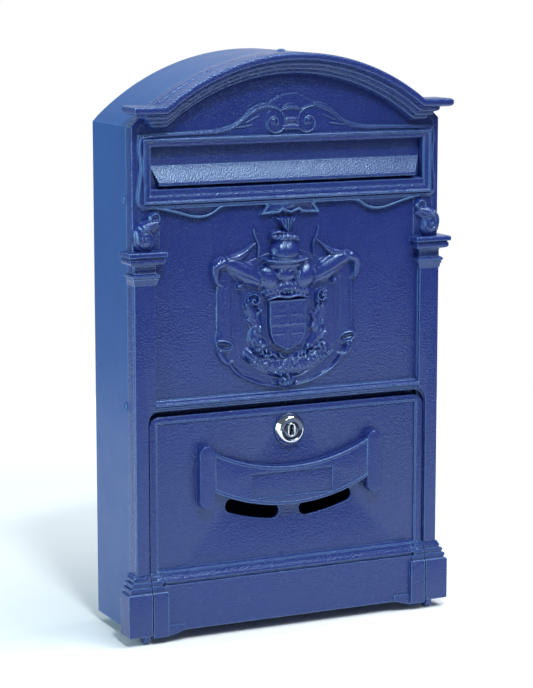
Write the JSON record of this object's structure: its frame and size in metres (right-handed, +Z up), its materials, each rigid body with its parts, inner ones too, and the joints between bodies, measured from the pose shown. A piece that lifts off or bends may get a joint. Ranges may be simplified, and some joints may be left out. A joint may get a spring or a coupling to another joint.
{
  "type": "wall mounted mailbox",
  "caption": "Arched wall letter box with a cast architectural front, a lift-up letter flap and a lockable drop-down door.",
  "frame": {"origin": "on the wall side of the back panel, in the middle of its width, 200 mm above the foot of the corner blocks", "axes": "+Y out of the back into the wall, so the front faces -Y; +Z up; +X to the right seen from the front"},
  "size_m": [0.2556, 0.0885, 0.4149],
  "materials": {
    "casting_paint": "textured blue powder coat",
    "sheet_paint": "satin blue powder coat",
    "chrome": "polished",
    "zinc": "zinc plated"
  },
  "bodies": {
    "housing": {"front_casting": "casting_paint", "crest_relief": "casting_paint", "body_wrap": "sheet_paint", "back_panel": "sheet_paint", "bottom_panel": "sheet_paint", "rivet_top": "sheet_paint", "rivet_left_upper": "sheet_paint", "rivet_left_lower": "sheet_paint", "rivet_right_upper": "sheet_paint", "rivet_right_lower": "sheet_paint", "rivet_bottom_left": "sheet_paint", "rivet_bottom_right": "sheet_paint", "flap_rod": "zinc", "flap_rod_clip_left": "zinc", "flap_rod_clip_right": "zinc", "door_pin_left": "zinc", "door_pin_right": "zinc"},
    "door": {"door_casting": "casting_paint", "lock_housing": "chrome", "lock_nut": "zinc"},
    "lock": {"lock_plug": "chrome", "lock_cam": "zinc", "cam_washer": "zinc", "cam_screw": "zinc"},
    "flap": {"letter_flap": "casting_paint"}
  },
  "joints": [
    {"name": "door_hinge", "type": "hinge", "parent": "housing", "child": "door", "pos_m": [0, -0.073, -0.2005], "axis": [1, 0, 0], "range_deg": [0, 95]},
    {"name": "flap_hinge", "type": "hinge", "parent": "housing", "child": "flap", "pos_m": [0, -0.066, 0.1423], "axis": [-1, 0, 0], "range_deg": [0, 75]},
    {"name": "lock_turn", "type": "hinge", "parent": "door", "child": "lock", "pos_m": [0, -0.07, -0.0616], "axis": [0, -1, 0], "range_deg": [0, 90]}
  ]
}
